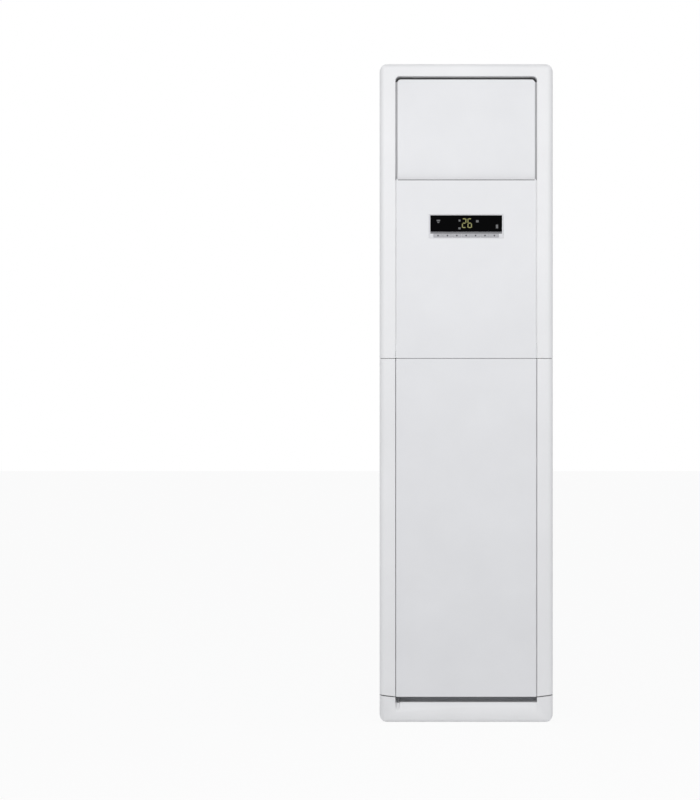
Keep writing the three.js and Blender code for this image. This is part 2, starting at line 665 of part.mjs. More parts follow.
function airFilter(side) {
  const along = (a, b) => [side * a, side * b].sort((p, q) => p - q);
  const y = [filterFront, rearFace];
  const frame = box(along(filterInner, filterOuter), y, [filterZ0, filterZ1]);
  const bars = [];
  const bays = FILTER_BARS + 1;
  const bayHeight = (filterZ1 - filterZ0 - FILTER_RIM) / bays;
  for (let i = 0; i < bays; i++) {
    const z = filterZ0 + FILTER_RIM + i * bayHeight;
    const window = box(along(filterInner - 1, filterOuter + 1), [y[0] + FILTER_RIM, intakeBack - FILTER_RIM],
      [z, z + bayHeight - FILTER_RIM]);
    bars.push(window);
  }
  const sheet = box(along((filterInner + filterOuter) / 2 - 0.4, (filterInner + filterOuter) / 2 + 0.4),
    [y[0] + 1, intakeBack], [filterZ0 + 1, filterZ1 - 1]);
  return cut(frame, bars).add(sheet);
}

// ---------------------------------------------------------------- fan, about its own axis
const scrollFront = front + FAN_SET_BACK;
const scrollBack = scrollFront + SCROLL_DEPTH + 2 * WALL;
const cutoff = THREE.MathUtils.degToRad(CUTOFF_ANGLE);
const scrollOutletLeft = scrollStart * Math.cos(cutoff);
const scrollTop = PARTITION_HEIGHT - FAN_CENTRE_HEIGHT - FIT;

// Spiral from the cutoff round to the outlet, then straight up to the top.
function scrollOutline(grow, top) {
  const points = [];
  const steps = 26;
  for (let i = 0; i <= steps; i++) {
    const t = i / steps;
    const angle = cutoff + (2 * Math.PI - cutoff) * t;
    const radius = scrollStart + SCROLL_GROWTH * t + grow;
    points.push([radius * Math.cos(angle), radius * Math.sin(angle)]);
  }
  points.push([scrollOutletRight + grow, top]);
  points.push([scrollOutletLeft - grow, top]);
  return points;
}
function fanScroll() {
  const depth = scrollBack - scrollFront;
  const shell = prismY(scrollOutline(WALL, scrollTop), 0, depth);
  const inside = prismY(scrollOutline(0, scrollTop + 1), WALL, depth - WALL);
  const inlet = rodY(0, 0, -1, WALL + 1, wheelEye + WALL + 4, 32);
  const shaftHole = rodY(0, 0, depth - WALL - 1, depth + 1, FAN_SHAFT_RADIUS + 2, 16);
  const feet = [0, depth - WALL].map((y) => box([-FAN_FOOT_HALF_WIDTH, FAN_FOOT_HALF_WIDTH],
    [y, y + WALL], [WALL - FAN_CENTRE_HEIGHT, -scrollStart]));
  return cut(joined([shell, ...feet]), [inside, inlet, shaftHole]);
}
function inletRing() {
  const flange = rodY(0, 0, -WALL - FIT, -FIT, wheelEye + INLET_FLANGE, 32);
  const neck = rodY(0, 0, -WALL - FIT, INLET_DEPTH, wheelEye + WALL, 32);
  const bore = rodY(0, 0, -WALL - 2 * FIT, INLET_DEPTH + 1, wheelEye, 32);
  return flange.add(neck).subtract(bore);
}
const INLET_FLANGE = 16; // flange's reach beyond the eye
const INLET_DEPTH = 14;
function blowerWheel() {
  const w = WHEEL_WIDTH;
  const disc = rodY(0, 0, w - WALL, w, wheelRadius, 36);
  const ring = rodY(0, 0, 0, 4, wheelRadius, 36).subtract(rodY(0, 0, -1, 5, wheelRadius - BLADE_DEPTH, 36));
  const hub = rodY(0, 0, w - 30, w + 6, 18, 16);
  const blades = [];
  for (let i = 0; i < WHEEL_BLADES; i++) {
    const g = new THREE.BoxGeometry(BLADE_DEPTH - 2, w - 2, 2);
    g.rotateY(-0.5).translate(wheelRadius - BLADE_DEPTH / 2 - 1, w / 2, 0);
    g.rotateY((2 * Math.PI * i) / WHEEL_BLADES);
    blades.push(solid(g));
  }
  const bore = rodY(0, 0, -1, w + 10, FAN_SHAFT_RADIUS + FIT, 16);
  return joined([disc, ring, hub, ...blades]).subtract(bore);
}
function fanMotor() {
  const flange = rodY(0, 0, 0, 4, FAN_MOTOR_RADIUS + 14, 24);
  const body = rodY(0, 0, 3, FAN_MOTOR_LENGTH, FAN_MOTOR_RADIUS, 24);
  const cap = rodY(0, 0, FAN_MOTOR_LENGTH - 1, FAN_MOTOR_LENGTH + 8, FAN_MOTOR_RADIUS / 2, 16);
  const shaft = rodY(0, 0, -SCROLL_DEPTH / 2, 2, FAN_SHAFT_RADIUS, 16);
  return joined([flange, body, cap, shaft]);
}

// ---------------------------------------------------------------- outlet, about the mouth's middle
const ductFloor = upperTop + OUTLET_FLOOR_RISE;
const ductTop = openingTop - OUTLET_TOP_DROP;
const mouthHalf = openingHalf - MOUTH_SIDE_WALL;
const mouthHeight = ductTop - ductFloor - 2 * WALL;
const outletZ = (ductFloor + ductTop) / 2;
const flangeY = front + OUTLET_FLANGE_BACK;
const louvrePitch = mouthHeight / LOUVRES;
const vanePitch = (2 * mouthHalf) / VANES;
const louvreY = LOUVRE_CHORD / 2 + WALL + 1;
const vaneY = louvreY + LOUVRE_CHORD / 2 + VANE_CHORD / 2 + 12;
const pinionRadius = (GEAR_MODULE * PINION_TEETH) / 2;
const rackPitchY = doorBack + RACK_BACKING + 1.25 * GEAR_MODULE;
const driveY = rackPitchY + pinionRadius + RUN / 2;
const driveZ = upperTop - PINION_BELOW_PANEL_TOP;
const rackOuter = doorHalf - RACK_INSET;
const rackInner = rackOuter - PINION_WIDTH;
function louvreZ(i) {
  return (i - (LOUVRES - 1) / 2) * louvrePitch;
}
function vaneX(i) {
  return (i - (VANES - 1) / 2) * vanePitch;
}
function outletHousing() {
  const h = (ductTop - ductFloor) / 2;
  const flange = box([-openingHalf + FIT, openingHalf - FIT], [0, WALL], [-h, h - FLANGE_TOP_IN]);
  const shell = box([-mouthHalf - WALL, mouthHalf + WALL], [0, OUTLET_DEPTH], [-h, h]);
  const bore = box([-mouthHalf, mouthHalf], [-1, OUTLET_DEPTH + 1], [-h + WALL, h - WALL]);
  const pins = [];
  for (let i = 0; i < LOUVRES; i++)
    pins.push(rodX(louvreY, louvreZ(i), -mouthHalf - 2 * WALL, mouthHalf + 2 * WALL, BLADE_PIN + FIT, 12));
  for (let i = 0; i < VANES; i++)
    pins.push(rodZ(vaneX(i), vaneY, -h - 1, h + 1, BLADE_PIN + FIT, 12));
  const lugDrop = driveZ - outletZ - pinionRadius + 2;
  const lugs = [-1, 1].map((side) => {
    const x = [side * mouthHalf, side * (mouthHalf + WALL)].sort((a, b) => a - b);
    return box(x, [driveY - flangeY - 12, driveY - flangeY + 12], [lugDrop, -h + 1]);
  });
  const shaftHole = rodX(driveY - flangeY, driveZ - outletZ, -halfW, halfW, DRIVE_SHAFT_RADIUS + FIT, 16);
  return cut(joined([flange, shell, ...lugs]), [bore, ...pins, shaftHole]);
}

// A flat blade with rounded edges: chord along Y, span along X or Z.
function bladeOutline(chord) {
  const t = BLADE_THICK / 2;
  return [...arc(chord / 2 - t, 0, t, t, -90, 90, 4), ...arc(-chord / 2 + t, 0, t, t, 90, 270, 4)];
}
const louvreLeft = -mouthHalf + LINK_THICK + 4;
function louvre() {
  const blade = prismX(bladeOutline(LOUVRE_CHORD), louvreLeft, mouthHalf - 1);
  const pin = rodX(0, 0, -mouthHalf - WALL + 0.5, mouthHalf + WALL - 0.5, BLADE_PIN, 12);
  const crank = rodX(LINK_ARM, 0, louvreLeft - LINK_THICK - 1.5, louvreLeft + 2, LINK_PIN, 10);
  return joined([blade, pin, crank]);
}
function louvreLink() {
  const reach = (LOUVRES - 1) * louvrePitch;
  const bar = box([-LINK_THICK / 2, LINK_THICK / 2], [-LINK_WIDTH / 2, LINK_WIDTH / 2],
    [-LINK_WIDTH / 2, reach + LINK_WIDTH / 2]);
  const holes = [];
  for (let i = 0; i < LOUVRES; i++)
    holes.push(rodX(0, i * louvrePitch, -LINK_THICK, LINK_THICK, LINK_PIN + FIT, 10));
  return cut(bar, holes);
}
const vaneBottom = -mouthHeight / 2 + LINK_THICK + 4;
function vane() {
  const outline = bladeOutline(VANE_CHORD).map(([a, b]) => [b, a]);
  const blade = prismZ(outline, vaneBottom, mouthHeight / 2 - 1);
  const pin = rodZ(0, 0, -mouthHeight / 2 - WALL + 0.5, mouthHeight / 2 + WALL - 0.5, BLADE_PIN, 12);
  const crank = rodZ(0, LINK_ARM, vaneBottom - LINK_THICK - 1.5, vaneBottom + 2, LINK_PIN, 10);
  return joined([blade, pin, crank]);
}
function vaneLink() {
  const reach = (VANES - 1) * vanePitch;
  const bar = box([-LINK_WIDTH / 2, reach + LINK_WIDTH / 2], [-LINK_WIDTH / 2, LINK_WIDTH / 2],
    [-LINK_THICK / 2, LINK_THICK / 2]);
  const holes = [];
  for (let i = 0; i < VANES; i++)
    holes.push(rodZ(i * vanePitch, 0, -LINK_THICK, LINK_THICK, LINK_PIN + FIT, 10));
  return cut(bar, holes);
}
function stepper(length, radius, sides = 20) {
  const body = rodX(0, 0, 0, length, radius, sides);
  const ears = box([0, 2], [-5, 5], [-radius - 7, radius + 7]);
  return body.add(ears);
}

// ---------------------------------------------------------------- sliding door with its racks
const toothPitch = Math.PI * GEAR_MODULE;
// Side outline of one rack: straight-sided teeth that point to the back, from the bottom up.
function rackOutline(length) {
  const root = RACK_BACKING;
  const tip = RACK_BACKING + 2.25 * GEAR_MODULE;
  const points = [[-1, 0], [root, 0]];
  const teeth = Math.floor(length / toothPitch) - 1;
  const start = rackPhase;
  for (let i = 0; i < teeth; i++) {
    const z = start + i * toothPitch;
    points.push([root, z + 0.08 * toothPitch], [tip, z + 0.3 * toothPitch],
      [tip, z + 0.58 * toothPitch], [root, z + 0.8 * toothPitch]);
  }
  points.push([root, length], [-1, length]);
  return points;
}
// The pinion's lowest-angle tooth points at the rack, so the rack has a space at the shaft's height.
const rackPhase = ((driveZ - doorBottom - 0.94 * toothPitch) % toothPitch + toothPitch) % toothPitch;
function outletDoor() {
  const h = doorTop - doorBottom;
  const corner = arc(doorHalf - DOOR_CORNER_RADIUS, h - DOOR_CORNER_RADIUS,
    DOOR_CORNER_RADIUS, DOOR_CORNER_RADIUS, 0, 90, 5);
  const half = [[doorHalf, 0], ...corner];
  const plate = prismY([...half, ...mirrored(half)], 0, WALL);
  const racks = [-1, 1].map((side) => {
    const x = [side * rackInner, side * rackOuter].sort((a, b) => a - b);
    return prismX(rackOutline(h - WALL), x[0], x[1]).translate([0, WALL, 0]);
  });
  const topFold = box([-rackInner + 4, rackInner - 4], [WALL - 1, WALL + 5], [h - WALL, h]);
  return joined([plate, ...racks, topFold]);
}
function pinionShaft() {
  const outline = [];
  for (let i = 0; i < PINION_TEETH; i++) {
    const base = Math.PI + (2 * Math.PI * i) / PINION_TEETH;
    const step = (2 * Math.PI) / PINION_TEETH;
    for (const [at, radius] of [[-0.36, -1.25], [-0.12, 0.95], [0.12, 0.95], [0.36, -1.25]]) {
      const r = pinionRadius + radius * GEAR_MODULE;
      outline.push([r * Math.cos(base + at * step), r * Math.sin(base + at * step)]);
    }
  }
  const pinions = [-1, 1].map((side) => {
    const x = [side * (rackInner + 0.5), side * (rackOuter - 0.5)].sort((a, b) => a - b);
    return prismX(outline, x[0], x[1]);
  });
  const shaft = rodX(0, 0, -mouthHalf - WALL - 2, mouthHalf + WALL - RUN, DRIVE_SHAFT_RADIUS, 16);
  return joined([shaft, ...pinions]);
}

// ---------------------------------------------------------------- electrics, drain pan and coil
const electricsFront = panelFront + PANEL_FLANGE + 2;
function electricalBox() {
  const y0 = electricsFront + WALL;
  const half = ELECTRICS_HALF_WIDTH;
  const outer = box([-half, half], [y0, y0 + ELECTRICS_DEPTH], [0, ELECTRICS_HEIGHT]);
  const inside = box([-ELECTRICS_HALF_WIDTH + SHEET, ELECTRICS_HALF_WIDTH - SHEET],
    [y0 - 1, y0 + ELECTRICS_DEPTH - SHEET], [SHEET, ELECTRICS_HEIGHT - SHEET]);
  const board = box([-ELECTRICS_HALF_WIDTH + 20, ELECTRICS_HALF_WIDTH - 20],
    [y0 + ELECTRICS_DEPTH - 12, y0 + ELECTRICS_DEPTH - 1], [20, ELECTRICS_HEIGHT - 20]);
  return outer.subtract(inside).add(board);
}
function electricalCover() {
  return box([-ELECTRICS_HALF_WIDTH, ELECTRICS_HALF_WIDTH], [0, WALL - FIT], [0, ELECTRICS_HEIGHT]);
}
const drainBottom = partitionTop + ELECTRICS_HEIGHT + DRAIN_GAP;
const drainTop = drainBottom + DRAIN_HEIGHT;
const drainY0 = front + DRAIN_FRONT;
const drainY1 = drainY0 + DRAIN_LENGTH;
const hoseX = 80;
function drainPan() {
  const x = sideInner - FIT;
  const outer = box([-x, x], [drainY0, drainY1], [drainBottom, drainTop]);
  const inside = box([-x + WALL, x - WALL], [drainY0 + WALL, drainY1 - WALL],
    [drainBottom + WALL, drainTop + 1]);
  const spout = rodY(hoseX, drainBottom + HOSE_RADIUS + 2, drainY1 - 1, drainY1 + 14, HOSE_RADIUS - 3, 10);
  const bore = rodY(hoseX, drainBottom + HOSE_RADIUS + 2, drainY1 - WALL - 1, drainY1 + 20,
    HOSE_RADIUS - 5, 8);
  return outer.subtract(inside).add(spout).subtract(bore);
}

const coilBottomY = (drainY0 + drainY1) / 2;
const coilBottomZ = drainBottom + WALL + 14;
const coilTopY = back - COIL_BACK;
const coilTopZ = ductFloor - COIL_TOP_GAP;
const coilTilt = Math.atan2(coilTopY - coilBottomY, coilTopZ - coilBottomZ);
const coilLength = Math.hypot(coilTopY - coilBottomY, coilTopZ - coilBottomZ);
const coilCentre = [0, (coilBottomY + coilTopY) / 2, (coilBottomZ + coilTopZ) / 2];
const finHalf = halfW - COIL_SIDE;
const passPitch = coilLength / COIL_PASSES;
function passZ(i) {
  return -coilLength / 2 + (i + 0.5) * passPitch;
}
function tubeHoles(x0, x1) {
  const holes = [];
  for (let i = 0; i < COIL_PASSES; i++)
    holes.push(rodX(0, passZ(i), x0, x1, (TUBE_RADIUS + FIT) / Math.cos(Math.PI / 6), 6));
  return holes;
}
function evaporatorFins() {
  const block = box([-finHalf, finHalf], [-COIL_THICK / 2, COIL_THICK / 2],
    [-coilLength / 2, coilLength / 2]);
  const slots = [];
  for (let i = 0; i < FIN_SLOTS; i++) {
    const x = -finHalf + ((i + 0.5) * 2 * finHalf) / FIN_SLOTS;
    const w = finHalf / FIN_SLOTS / 2;
    slots.push(box([x - w, x + w], [-COIL_THICK / 2 - 1, -COIL_THICK / 2 + FIN_SLOT_DEPTH],
      [-coilLength / 2 - 1, coilLength / 2 + 1]));
  }
  return cut(block, [...slots, ...tubeHoles(-finHalf - 1, finHalf + 1)]);
}
// The end plate's fold reaches the side panel and carries the coil.
function coilPlate(side) {
  const along = (a, b) => [side * a, side * b].sort((p, q) => p - q);
  const x0 = finHalf + FIT;
  const plate = box(along(x0, x0 + SHEET), [-COIL_THICK / 2, COIL_THICK / 2],
    [-coilLength / 2, coilLength / 2]);
  const fold = box(along(x0, sideInner - FIT), [-COIL_THICK / 4, COIL_THICK / 2],
    [coilLength / 2 - SHEET, coilLength / 2]);
  return cut(joined([plate, fold]), tubeHoles(-halfW, halfW));
}
const bendStart = finHalf + FIT + SHEET + 1;
// One serpentine: straight passes joined by half-round bends, both ends on the right.
function evaporatorTubes() {
  const centres = [];
  const r = passPitch / 2;
  const end = bendStart + 8;
  centres.push(new THREE.Vector3(end, 0, passZ(0)));
  for (let i = 0; i < COIL_PASSES; i++) {
    const side = i % 2 ? 1 : -1;
    if (i === COIL_PASSES - 1) break;
    for (let k = 0; k <= 4; k++) {
      const angle = -Math.PI / 2 + (Math.PI * k) / 4;
      const x = side * (bendStart + BEND_FLATTEN * r * Math.cos(angle));
      centres.push(new THREE.Vector3(x, 0, passZ(i) + r + r * Math.sin(angle)));
    }
  }
  centres.push(new THREE.Vector3(end, 0, passZ(COIL_PASSES - 1)));
  return solid(tubeGeometry(centres, TUBE_RADIUS, 6));
}
const BEND_FLATTEN = 0.8;

// Refrigerant pipes run from the coil's ends to the pipe exit in the back.
const exitZ = PARTITION_HEIGHT + EXIT_ABOVE_PARTITION;
const glandZ = PARTITION_HEIGHT + GLAND_ABOVE_PARTITION;
const pipeEndY = rearInner - 8;
const pipeX = bendStart + 8;
const PIPE_TURN = 11; // from the coil's tube end to the pipe's run down the side
const GAS_OFFSET = 15; // union's middle right of the exit's middle
const GAS_RISE = 18;
const GAS_BACK = 24; // gas pipe's run in from the back
const LIQUID_OFFSET = 18;
const LIQUID_RISE = 8;
const LIQUID_BACK = 25; // liquid pipe's run behind the drain pan
const HOSE_DROP = 22;
const HOSE_LEAD = 30; // hose's straight run from the drain pan
const HOSE_REACH = 70; // drain pan to the hose's bend at the exit's height
const GAS_DIP = 40; // bend below the coil's end
const GAS_FORWARD = 30; // last bend in front of the run down the side
const LIQUID_REACH = 80; // last bend behind the run down the side
const PIPE_LEAD = 60; // pipes leave the side this much above the exit
function coilPoint(z) {
  return [coilCentre[1] + z * Math.sin(coilTilt), coilCentre[2] + z * Math.cos(coilTilt)];
}
function union(x, z, radius) {
  return rodY(x, z, pipeEndY - 18, pipeEndY, radius + 5, 6);
}
function gasPipe() {
  const [y, z] = coilPoint(passZ(COIL_PASSES - 1));
  const run = pipeX + PIPE_TURN;
  const down = back - GAS_BACK;
  const route = [[pipeX + FIT, y, z], [run, y, z], [run, down, z - GAS_DIP], [run, down, exitZ + PIPE_LEAD],
    [exitX + GAS_OFFSET, down - GAS_FORWARD, exitZ + GAS_RISE],
    [exitX + GAS_OFFSET, pipeEndY - 10, exitZ + GAS_RISE]];
  return tube(route, GAS_RADIUS, 9).add(union(exitX + GAS_OFFSET, exitZ + GAS_RISE, GAS_RADIUS));
}
function liquidPipe() {
  const [y, z] = coilPoint(passZ(0));
  const run = pipeX + PIPE_TURN;
  const down = drainY1 + LIQUID_BACK;
  const route = [[pipeX + FIT, y, z], [run, y, z], [run, down, z], [run, down, exitZ + PIPE_LEAD],
    [exitX - LIQUID_OFFSET, down + LIQUID_REACH, exitZ + LIQUID_RISE],
    [exitX - LIQUID_OFFSET, pipeEndY - 10, exitZ + LIQUID_RISE]];
  return tube(route, LIQUID_RADIUS, 9).add(union(exitX - LIQUID_OFFSET, exitZ + LIQUID_RISE, LIQUID_RADIUS));
}
function drainHose() {
  const z = drainBottom + HOSE_RADIUS + 2;
  const start = drainY1 + 2;
  const route = [[hoseX, start, z], [hoseX, start + HOSE_LEAD, z],
    [exitX, start + HOSE_REACH, exitZ - HOSE_DROP], [exitX, rearFace - 1, exitZ - HOSE_DROP]];
  const sleeve = rodY(hoseX, z, start - 2, start + 14, HOSE_RADIUS - 3 + FIT, 10);
  return tube(route, HOSE_RADIUS, 14, 10).subtract(sleeve);
}
function pipeGrommet() {
  const r = EXIT_RADIUS * Math.cos(Math.PI / EXIT_SIDES) - FIT;
  const flange = r + GROMMET_WALL;
  const profile = [[r - GROMMET_WALL, -6], [r, -6], [r, -FIT], [r, SHEET], [flange, SHEET],
    [flange, back - rearInner], [r - GROMMET_WALL, back - rearInner], [r - GROMMET_WALL, -6]];
  return turnedY(profile, EXIT_SIDES);
}
function cableGland() {
  const hex = rodY(0, 0, -8, -FIT, GLAND_RADIUS + 4, 6);
  const neck = rodY(0, 0, -9, back - rearInner - FIT, GLAND_RADIUS - FIT, 12);
  const bore = rodY(0, 0, -10, back, CABLE_RADIUS, 12);
  return joined([hex, neck]).subtract(bore);
}

// ---------------------------------------------------------------- assembly
addPiece(cabinet, "base_pan", basePan(), whiteSheet);
addPiece(cabinet, "plinth_cover", plinthCover(), white);
for (const [name, side] of [["left", -1], ["right", 1]]) {
  addPiece(cabinet, name + "_side_panel", sidePanel(side), whiteSheet);
  addPiece(cabinet, name + "_lower_pillar", lowerPillar(side), white);
  addPiece(cabinet, name + "_intake_grille", intakeGrille(side), white);
  addPiece(cabinet, name + "_filter", airFilter(side), mesh);
}
addPiece(cabinet, "rear_lower_panel", rearLowerPanel(), whiteSheet);
addPiece(cabinet, "rear_upper_panel", rearUpperPanel(), whiteSheet);
addPiece(cabinet, "wall_bracket", wallBracket(), zinc,
  [0, rearFace, coverBottom - BRACKET_DROP - BRACKET_HEIGHT]);
addPiece(cabinet, "top_cover", topCover(), whiteSheet);
addPiece(cabinet, "upper_front_frame", upperFrontFrame(), white);
addPiece(cabinet, "upper_front_panel", upperFrontPanel(), white);
addPiece(cabinet, "middle_cross_rail", crossRail(), zinc);
addPiece(cabinet, "partition_plate", partition(), zinc, [0, 0, PARTITION_HEIGHT]);
addPiece(cabinet, "lower_front_panel", lowerFrontPanel(), white, [-panelHalf, panelFront, lowerBottom]);

addPiece(cabinet, "display_housing", displayHousing(), greyTrim);
const displayZ = (displayTop + displayBottom) / 2;
addPiece(cabinet, "display_window", displayWindow(), lens, [0, panelFront, displayZ]);
for (let i = 0; i < KEYS; i++)
  addPiece(cabinet, "key_" + (i + 1), keyCap(), greyTrim, [keyX(i), panelFront, keyZ]);

const fan = addGroup(root, [0, scrollFront, FAN_CENTRE_HEIGHT]);
const wheelY = WALL + INLET_DEPTH - 4;
addPiece(fan, "fan_scroll", fanScroll(), duct);
addPiece(fan, "inlet_ring", inletRing(), duct);
addPiece(fan, "blower_wheel", blowerWheel(), dark, [0, wheelY, 0]);
addPiece(fan, "fan_motor", fanMotor(), zinc, [0, scrollBack - scrollFront, 0]);

const outlet = addGroup(root, [0, flangeY, outletZ]);
addPiece(outlet, "outlet_housing", outletHousing(), duct);
for (let i = 0; i < LOUVRES; i++)
  addPiece(outlet, "louvre_" + (i + 1), louvre(), white, [0, louvreY, louvreZ(i)]);
addPiece(outlet, "louvre_link", louvreLink(), greyTrim,
  [louvreLeft - LINK_THICK / 2 - 1, louvreY + LINK_ARM, louvreZ(0)]);
addPiece(outlet, "louvre_motor", stepper(STEPPER_LENGTH, STEPPER_RADIUS), greyTrim,
  [mouthHalf + WALL, louvreY, louvreZ(0)]);
for (let i = 0; i < VANES; i++)
  addPiece(outlet, "vane_" + (i + 1), vane(), greyTrim, [vaneX(i), vaneY, 0]);
addPiece(outlet, "vane_link", vaneLink(), greyTrim,
  [vaneX(0), vaneY + LINK_ARM, vaneBottom - LINK_THICK / 2 - 1]);
const vaneMotor = addPiece(outlet, "vane_motor", stepper(STEPPER_LENGTH, STEPPER_RADIUS), greyTrim,
  [vaneX(VANES - 1), vaneY, -mouthHeight / 2 - WALL]);
vaneMotor.rotation.y = Math.PI / 2;

addPiece(root, "outlet_door", outletDoor(), white, [0, doorFront, doorBottom]);
addPiece(root, "door_pinion_shaft", pinionShaft(), greyTrim, [0, driveY, driveZ]);
addPiece(root, "door_motor", stepper(DOOR_MOTOR_LENGTH, DOOR_MOTOR_RADIUS), greyTrim,
  [mouthHalf + WALL, driveY, driveZ]);

addPiece(cabinet, "electrical_box", electricalBox(), zinc, [0, 0, partitionTop]);
addPiece(cabinet, "electrical_cover", electricalCover(), zinc, [0, electricsFront, partitionTop]);
addPiece(cabinet, "drain_pan", drainPan(), duct);
addPiece(cabinet, "drain_hose", drainHose(), duct);
const coil = addGroup(root, coilCentre, -coilTilt);
addPiece(coil, "evaporator_fins", evaporatorFins(), fin);
addPiece(coil, "evaporator_tubes", evaporatorTubes(), copper);
addPiece(coil, "left_coil_plate", coilPlate(-1), zinc);
addPiece(coil, "right_coil_plate", coilPlate(1), zinc);
addPiece(cabinet, "gas_pipe", gasPipe(), copper);
addPiece(cabinet, "liquid_pipe", liquidPipe(), copper);
addPiece(cabinet, "pipe_grommet", pipeGrommet(), rubber, [exitX, rearInner, exitZ]);
addPiece(cabinet, "cable_gland", cableGland(), dark, [glandX, rearInner, glandZ]);

export default root;
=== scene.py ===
"""Looks of the floor standing air conditioner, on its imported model. Metres, +Z up, the front faces -Y."""

import json
import math

import bmesh
import bpy
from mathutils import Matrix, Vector


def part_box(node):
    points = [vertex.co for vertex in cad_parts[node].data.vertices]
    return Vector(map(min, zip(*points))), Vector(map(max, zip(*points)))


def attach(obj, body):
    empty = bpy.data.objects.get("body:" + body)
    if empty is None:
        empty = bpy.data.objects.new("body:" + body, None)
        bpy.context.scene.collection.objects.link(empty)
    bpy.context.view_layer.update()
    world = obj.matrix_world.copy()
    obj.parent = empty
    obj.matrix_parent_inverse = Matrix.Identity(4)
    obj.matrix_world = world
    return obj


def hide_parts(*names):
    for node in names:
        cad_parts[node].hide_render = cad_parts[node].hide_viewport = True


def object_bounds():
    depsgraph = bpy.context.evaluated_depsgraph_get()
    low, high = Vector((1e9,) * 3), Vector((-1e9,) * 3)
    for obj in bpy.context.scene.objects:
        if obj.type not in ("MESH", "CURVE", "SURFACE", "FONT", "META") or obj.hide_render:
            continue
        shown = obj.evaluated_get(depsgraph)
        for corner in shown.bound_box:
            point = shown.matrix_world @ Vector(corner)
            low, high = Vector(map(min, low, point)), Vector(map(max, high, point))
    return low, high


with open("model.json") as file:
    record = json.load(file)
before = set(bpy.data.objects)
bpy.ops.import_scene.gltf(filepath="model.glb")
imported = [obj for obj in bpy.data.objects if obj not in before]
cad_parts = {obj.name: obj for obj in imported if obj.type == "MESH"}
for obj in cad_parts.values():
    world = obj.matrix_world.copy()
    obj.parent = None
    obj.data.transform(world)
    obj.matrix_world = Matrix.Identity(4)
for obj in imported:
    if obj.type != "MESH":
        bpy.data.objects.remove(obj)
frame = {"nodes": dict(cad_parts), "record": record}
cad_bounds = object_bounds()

MM = 0.001
nodes = frame["nodes"]
scene = bpy.context.scene
scene.view_settings.view_transform = "Standard"

# ---------------------------------------------------------------- camera
IMAGE_WIDTH = 700
IMAGE_HEIGHT = 800
OUTLINE_TOP = 63.3  # the object's outline in the photograph, in pixels
OUTLINE_BOTTOM = 722.6
OUTLINE_MIDDLE = 466.2
CAMERA_DISTANCE = 4.0  # from the front plane
SENSOR = 36.0  # millimetres, as Blender's lens is
VIEW_DEPTH = 60.0


def add_camera():
    """A level camera whose image frames the object as the photograph does."""
    low, high = cad_bounds
    metres_per_pixel = (high[2] - low[2]) / (OUTLINE_BOTTOM - OUTLINE_TOP)
    data = bpy.data.cameras.new("camera")
    data.sensor_fit = "AUTO"
    data.sensor_width = SENSOR
    data.lens = SENSOR * CAMERA_DISTANCE / (metres_per_pixel * IMAGE_HEIGHT)
    data.shift_x = (IMAGE_WIDTH / 2 - OUTLINE_MIDDLE) / IMAGE_HEIGHT
    data.clip_end = VIEW_DEPTH
    camera = bpy.data.objects.new("camera", data)
    eye_height = (OUTLINE_BOTTOM - IMAGE_HEIGHT / 2) * metres_per_pixel
    camera.location = (0, low[1] - CAMERA_DISTANCE, eye_height)
    camera.rotation_euler = (math.pi / 2, 0, 0)
    scene.collection.objects.link(camera)
    scene.camera = camera


# ---------------------------------------------------------------- light, background and floor
WORLD_COLOR = (0.96, 0.97, 1.0, 1)
WORLD_LIGHT = 0.52
FLOOR_REACH = 14.0
FLOOR_GREY = (0.86, 0.86, 0.86, 1)
FLOOR_ROUGH = 0.9
FLOOR_WHITE = 0.92  # share of plain white that the camera sees


def add_area(name, place, aim, width, height, power):
    """A soft rectangular lamp, its power in watts."""
    data = bpy.data.lights.new(name, "AREA")
    data.shape = "RECTANGLE"
    data.size = width
    data.size_y = height
    data.energy = power
    lamp = bpy.data.objects.new(name, data)
    lamp.location = place
    lamp.rotation_euler = (Vector(aim) - Vector(place)).to_track_quat("-Z", "Y").to_euler()
    scene.collection.objects.link(lamp)


def seen_directly(tree):
    """A value of 1 for camera, glossy and transmission rays, and 0 for the rest."""
    path = tree.nodes.new("ShaderNodeLightPath")
    total = path.outputs["Is Camera Ray"]
    for name in ("Is Glossy Ray", "Is Transmission Ray"):
        add = tree.nodes.new("ShaderNodeMath")
        add.operation = "MAXIMUM"
        tree.links.new(total, add.inputs[0])
        tree.links.new(path.outputs[name], add.inputs[1])
        total = add.outputs[0]
    return total


def add_world():
    """A soft, slightly cool light all round, behind which the camera sees plain white."""
    world = bpy.data.worlds.new("studio")
    scene.world = world
    world.use_nodes = True
    tree = world.node_tree
    tree.nodes.clear()
    lighting = tree.nodes.new("ShaderNodeBackground")
    lighting.inputs["Color"].default_value = WORLD_COLOR
    lighting.inputs["Strength"].default_value = WORLD_LIGHT
    white = tree.nodes.new("ShaderNodeBackground")
    white.inputs["Color"].default_value = (1, 1, 1, 1)
    white.inputs["Strength"].default_value = 1.0
    mix = tree.nodes.new("ShaderNodeMixShader")
    out = tree.nodes.new("ShaderNodeOutputWorld")
    tree.links.new(seen_directly(tree), mix.inputs[0])
    tree.links.new(lighting.outputs[0], mix.inputs[1])
    tree.links.new(white.outputs[0], mix.inputs[2])
    tree.links.new(mix.outputs[0], out.inputs["Surface"])


